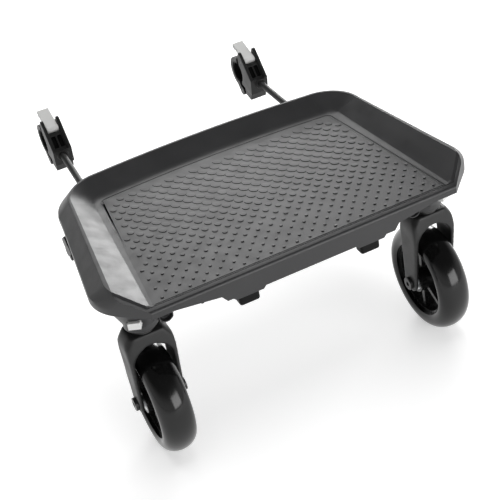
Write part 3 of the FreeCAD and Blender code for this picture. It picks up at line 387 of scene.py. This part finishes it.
def repeat_dot(tread):
    """Repeat the dot over the floor, and the whole grid once more half a step on."""
    across, along = DOT_PITCH
    columns = int(2 * FLOOR_HALF_FRONT / across) + 1
    rows = int(FLOOR_DEPTH / along) + 1
    begin_edit(tread)
    bpy.ops.mesh.select_all(action="SELECT")
    left = -across * (columns - 1) / 2
    bpy.ops.transform.translate(value=(left * MM, (FLOOR_FRONT + FIRST_ROW) * MM, 0))
    end_edit()
    for count, step_x, step_y in ((columns, across, 0), (rows, 0, along), (2, across / 2, along / 2)):
        apply_modifier(
            tread, "ARRAY", count=count, use_relative_offset=False, use_constant_offset=True,
            constant_offset_displace=(step_x * MM, step_y * MM, 0),
        )


def shape_dot(dot, middle, x, y):
    """Size a dot for its place, stretch it along its row and set it on the floor."""
    grown = dot_growth(x, y)
    wide = dot_size(x, y) / DOT_RADIUS
    offset = dot[:, :2] - middle[:2]
    long_way = np.outer(offset @ DOT_ROW, DOT_ROW)
    stretched = long_way * (1 + ROW_STRETCH * grown) + (offset - long_way) * (1 - ROW_NARROWING * grown)
    dot[:, :2] = middle[:2] + stretched * wide
    top = dot[:, 2].max()
    dot[:, 2] = FLOOR_HEIGHT * MM + (dot[:, 2] - top) + DOT_RISE * (1 - LOWERING * grown) * MM


def on_bare_edge(x, y):
    """A place too near a wall, the lip or a round corner for a dot."""
    edge = WALL_FILLET + WALL_MARGIN + dot_size(x, y)
    front = FLOOR_FRONT + LIP_MARGIN + dot_size(x, y)
    back = FLOOR_FRONT + FLOOR_DEPTH
    if abs(x) >= floor_half_width(y) - edge or not front < y < back - edge:
        return True
    corner_x = abs(x) - (FLOOR_HALF_BACK - TREAD_CORNER)
    corner_y = y - (back - TREAD_CORNER)
    return corner_x > 0 and corner_y > 0 and math.hypot(corner_x, corner_y) > TREAD_CORNER - edge


def make_tread():
    tread = make_dot()
    corners = len(tread.data.vertices)
    repeat_dot(tread)
    spots = np.empty(len(tread.data.vertices) * 3)
    tread.data.vertices.foreach_get("co", spots)
    spots = spots.reshape(-1, corners, 3)
    gone = set()
    for n, dot in enumerate(spots):
        middle = dot.mean(axis=0)
        x, y = middle[0] / MM, middle[1] / MM
        shape_dot(dot, middle, x, y)
        if on_bare_edge(x, y):
            gone.add(n)
    tread.data.vertices.foreach_set("co", spots.ravel())
    begin_edit(tread)
    pick(tread, "VERT", lambda vertex: vertex.index // corners in gone)
    bpy.ops.mesh.delete(type="VERT")
    end_edit()
    smooth_shade(tread, 12)
    for finish in ("deck_plastic", "dot_side_painted_shade"):
        tread.data.materials.append(FINISH[finish])
    # The dots' sides get the painted shade finish and their tops the deck's finish
    for face in tread.data.polygons:
        face.material_index = int(face.normal.z < 0.5)
    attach(tread, "board")


# Tyres: a round section, flat on the rim, spun about the axle

SECTION_CORNERS = 40
SPIN_STEPS = 120
SPIN_SEAM = 0.05


def make_tyre(side):
    low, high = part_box(f"tyre_{side}")
    middle = (low + high) / 2
    bpy.ops.object.select_all(action="DESELECT")
    bpy.ops.mesh.primitive_circle_add(vertices=SECTION_CORNERS, radius=1.0, rotation=(math.pi / 2, 0, 0))
    tyre = bpy.context.object
    tyre.name = f"tyre_rubber_{side}"
    bpy.ops.object.transform_apply(location=True, rotation=True, scale=True)
    begin_edit(tyre)
    bpy.ops.mesh.select_all(action="SELECT")
    bpy.ops.transform.resize(value=(TYRE_HALF_WIDTH * MM, 1, TYRE_HALF_HEIGHT * MM))
    bpy.ops.transform.translate(value=(0, 0, (TYRE_RADIUS - TYRE_HALF_HEIGHT) * MM))
    pick(tyre, "VERT", lambda vertex: vertex.co.z < TYRE_BEAD * MM)
    bpy.ops.transform.resize(value=(1, 1, 0), center_override=(0, 0, TYRE_BEAD * MM))
    bpy.ops.mesh.select_all(action="SELECT")
    bpy.ops.mesh.spin(steps=SPIN_STEPS, angle=2 * math.pi, center=(0, 0, 0), axis=(1, 0, 0))
    bpy.ops.mesh.select_all(action="SELECT")
    bpy.ops.mesh.remove_doubles(threshold=SPIN_SEAM * MM)
    bpy.ops.mesh.normals_make_consistent(inside=False)
    bpy.ops.transform.translate(value=middle)
    end_edit()
    smooth_shade(tyre, 50)
    dress_node(tyre, f"tyre_{side}")


# Mouldings that keep their solid's shape, with softened edges: the width of each rounding
SOFTENED = {
    "wheel_rim": 0.7, "axle_bolt": 0.5, "axle_nut": 0.5, "arm_rod": 0.4, "arm_stop": 0.5,
    "arm_guide": 1.0, "clamp_jaw": 0.7, "jaw_pad": 0.3, "clamp_liner": 0.3, "hinge_pin": 0.3,
    "lever_pin": 0.3, "lock_stud": 0.3, "swivel_stem": 0.3, "thrust_washer": 0.3, "swivel_bushes": 0.3,
    "rod_pin": 0.2, "axle_washers": 0.2, "wheel_bearings": 0.3, "bearing_spacer": 0.2, "release_spring": 0.1,
}
# Mouldings that are round all over: the size of their skin's cells, its passes and its share
ROUNDED = {
    "fork": (1.1, 30, 0.5), "caster_housing": (1.0, 4, 0.5), "clamp_body": (0.6, 3, 0.5),
    "clamp_lever": (0.45, 5, 0.5), "lock_knob": (0.6, 5, 0.5), "release_button": (0.4, 3, 0.5),
    "front_bumper": (0.6, 3, 0.5),
}

# Front lip: its slope, where its edge lies, and how far that is lifted and rounded
LIP_SLOPE = 15.5 / 26.0
LIP_AHEAD = 7.0
LIP_LEVEL = 0.05
LIP_LIFT = 3.2
LIP_ROUND = 2.5
LIP_STEPS = 5


def on_front_lip(mesh, edge):
    """The long edge where the sloped lip turns down into the front skirt."""
    ends = [mesh.vertices[n].co for n in edge.vertices]
    sloped = all(
        abs(end.z - FLOOR_HEIGHT * MM - (end.y - FLOOR_FRONT * MM) * LIP_SLOPE) < LIP_LEVEL * MM
        for end in ends
    )
    ahead = all(end.y < (FLOOR_FRONT - LIP_AHEAD) * MM for end in ends)
    return sloped and ahead


def make_board():
    base = merged_copy("base_frame", "frame_moulding")
    begin_edit(base, "EDGE")
    pick(base, "EDGE", lambda edge: on_front_lip(base.data, edge))
    bpy.ops.transform.translate(value=(0, 0, LIP_LIFT * MM))
    bpy.ops.mesh.bevel(offset=LIP_ROUND * MM, segments=LIP_STEPS, affect="EDGES", clamp_overlap=True)
    end_edit()
    soften(base, BOARD_ROUND)
    dress_node(base, "base_frame")
    for node in ("deck_screws", "anchor_screws"):
        screws = merged_copy(node, f"{node}_finished")
        soften(screws, SCREW_ROUND, 2)
        dress_node(screws, node)
    make_tray()
    make_tread()


# Clamp's sloping face, from top to bottom about the middle of its bore, and where its two slots lie
CLAMP_MIDDLE = Vector((135.74, 213.7, 197.53))
FACE_TOP = Vector((-24.0, 17.0))
FACE_LOW = Vector((-37.0, 0.6))
SLOT_SPAN = (0.9, 6.7)
SLOT_SHARES = (0.15, 1.0)
SLOT_DEPTHS = (0.5, 3.2)


def in_slot(face, hand):
    """A face of the clamp that lies inside one of the slots."""
    place = face.center / MM - Vector((CLAMP_MIDDLE.x * hand, CLAMP_MIDDLE.y, CLAMP_MIDDLE.z))
    down = FACE_LOW - FACE_TOP
    reach = Vector((place.y, place.z)) - FACE_TOP
    share = reach.dot(down) / down.length_squared
    deep = reach.dot(Vector((-down.y, down.x)).normalized())
    return all(
        low < value < high
        for value, (low, high) in ((share, SLOT_SHARES), (deep, SLOT_DEPTHS), (abs(place.x), SLOT_SPAN))
    )


def darken_slots(piece, hand):
    piece.data.materials.append(FINISH["shadow_gap"])
    for face in piece.data.polygons:
        if in_slot(face, hand):
            face.material_index = 1


def make_sides():
    for side, hand in zip(SIDES, (-1, 1)):
        make_tyre(side)
        for name, width in SOFTENED.items():
            piece = merged_copy(f"{name}_{side}", f"{name}_finished_{side}")
            soften(piece, width)
            dress_node(piece, f"{name}_{side}")
        for name, (voxel, passes, share) in ROUNDED.items():
            piece = merged_copy(f"{name}_{side}", f"{name}_finished_{side}")
            round_over(piece, voxel, passes, share)
            dress_node(piece, f"{name}_{side}")
            if name == "clamp_body":
                darken_slots(piece, hand)
            if name == "release_button":
                piece.data.materials[0] = FINISH["button"]


make_board()
make_sides()


# Studio: a dim ceiling over a bright horizon, three softboxes, a light overhead and a white floor

HORIZON, CEILING = 0.75, 0.10
# Heights between which the horizon fades into the ceiling
FADE = (0.12, 0.62)
GROUND_SIZE = 12
GROUND_TONE = 0.9
GROUND_GLOW = 0.45
LAMP_AIM = Vector((0, 0, 0.2))
# Lamps: place and size in metres, power, and whether a shiny face mirrors it
LAMPS = (
    ("back_softbox", (0.55, 1.80, 1.36), (0.85, 1.5), 14.0, True),
    ("side_softbox", (1.45, 1.60, 0.60), (1.0, 0.6), 22.0, True),
    ("front_softbox", (0.6, -1.9, 0.55), (1.4, 0.8), 17.0, True),
    ("top_light", (0.0, 0.0, 2.2), (2.0, 2.0), 26.0, False),
)


def light_room(scene):
    world = bpy.data.worlds.new("studio")
    scene.world = world
    world.use_nodes = True
    nodes, links = world.node_tree.nodes, world.node_tree.links
    background = nodes["Background"]
    place = nodes.new("ShaderNodeTexCoord")
    split = nodes.new("ShaderNodeSeparateXYZ")
    links.new(place.outputs["Generated"], split.inputs["Vector"])
    fall = nodes.new("ShaderNodeMapRange")
    fall.interpolation_type = "SMOOTHSTEP"
    fall.inputs["From Min"].default_value, fall.inputs["From Max"].default_value = FADE
    fall.inputs["To Min"].default_value = HORIZON
    fall.inputs["To Max"].default_value = CEILING
    links.new(split.outputs["Z"], fall.inputs["Value"])
    links.new(fall.outputs["Result"], background.inputs["Strength"])
    background.inputs["Color"].default_value = (1, 1, 1, 1)


def hang_lamps(scene):
    for name, place, size, power, glossy in LAMPS:
        data = bpy.data.lights.new(name, "AREA")
        data.shape = "RECTANGLE"
        data.size, data.size_y = size
        data.energy = power
        lamp = bpy.data.objects.new(name, data)
        lamp.location = place
        aim = LAMP_AIM - lamp.location
        lamp.rotation_euler = aim.to_track_quat("-Z", "Y").to_euler()
        lamp.visible_glossy = glossy
        scene.collection.objects.link(lamp)


def lay_floor():
    bpy.ops.object.select_all(action="DESELECT")
    bpy.ops.mesh.primitive_plane_add(size=GROUND_SIZE)
    ground = bpy.context.object
    ground.name = "studio_floor"
    material, nodes, links, shader = new_finish("studio_floor")
    shader.inputs["Base Color"].default_value = (GROUND_TONE, GROUND_TONE, GROUND_TONE, 1)
    shader.inputs["Roughness"].default_value = 0.9
    shader.inputs["Emission Color"].default_value = (1, 1, 1, 1)
    path = nodes.new("ShaderNodeLightPath")
    seen = path.outputs["Is Camera Ray"]
    for ray in ("Is Glossy Ray", "Is Transmission Ray"):
        either = nodes.new("ShaderNodeMath")
        either.operation = "MAXIMUM"
        links.new(seen, either.inputs[0])
        links.new(path.outputs[ray], either.inputs[1])
        seen = either.outputs["Value"]
    glow = nodes.new("ShaderNodeMath")
    glow.operation = "MULTIPLY"
    glow.inputs[1].default_value = GROUND_GLOW
    links.new(seen, glow.inputs[0])
    links.new(glow.outputs["Value"], shader.inputs["Emission Strength"])
    ground.data.materials.append(material)


def make_studio():
    scene = bpy.context.scene
    scene.view_settings.view_transform = "Standard"
    light_room(scene)
    hang_lamps(scene)
    lay_floor()


# Camera at the photograph's angle

# Width of the picture, focal length and shift, in pixels
PICTURE = 500
FOCAL = 1174.19
SHIFT = (60.0, -14.55)
# Turn, height and roll in degrees, and the place from the front of the floor in millimetres
CAMERA_ANGLES = (-22.78, 34.11, -9.21)
CAMERA_PLACE = Vector((-369.46, -889.39, 660.15))
SENSOR = 36.0


def make_camera():
    place = (CAMERA_PLACE + Vector((0, FLOOR_FRONT, FLOOR_HEIGHT))) * MM
    turn, tilt, lean = (math.radians(angle) for angle in CAMERA_ANGLES)
    back = Vector((math.sin(turn) * math.cos(tilt), -math.cos(turn) * math.cos(tilt), math.sin(tilt)))
    right = Vector((0, 0, 1)).cross(back).normalized()
    up = back.cross(right)
    right, up = (
        right * math.cos(lean) + up * math.sin(lean),
        up * math.cos(lean) - right * math.sin(lean),
    )
    data = bpy.data.cameras.new("camera")
    data.sensor_fit = "HORIZONTAL"
    data.sensor_width = SENSOR
    data.lens = FOCAL / PICTURE * SENSOR
    data.shift_x = -SHIFT[0] / PICTURE
    data.shift_y = SHIFT[1] / PICTURE
    camera = bpy.data.objects.new("camera", data)
    camera.matrix_world = Matrix((
        (right.x, up.x, back.x, place.x),
        (right.y, up.y, back.y, place.y),
        (right.z, up.z, back.z, place.z),
        (0, 0, 0, 1),
    ))
    bpy.context.scene.collection.objects.link(camera)
    bpy.context.scene.camera = camera


make_studio()
make_camera()
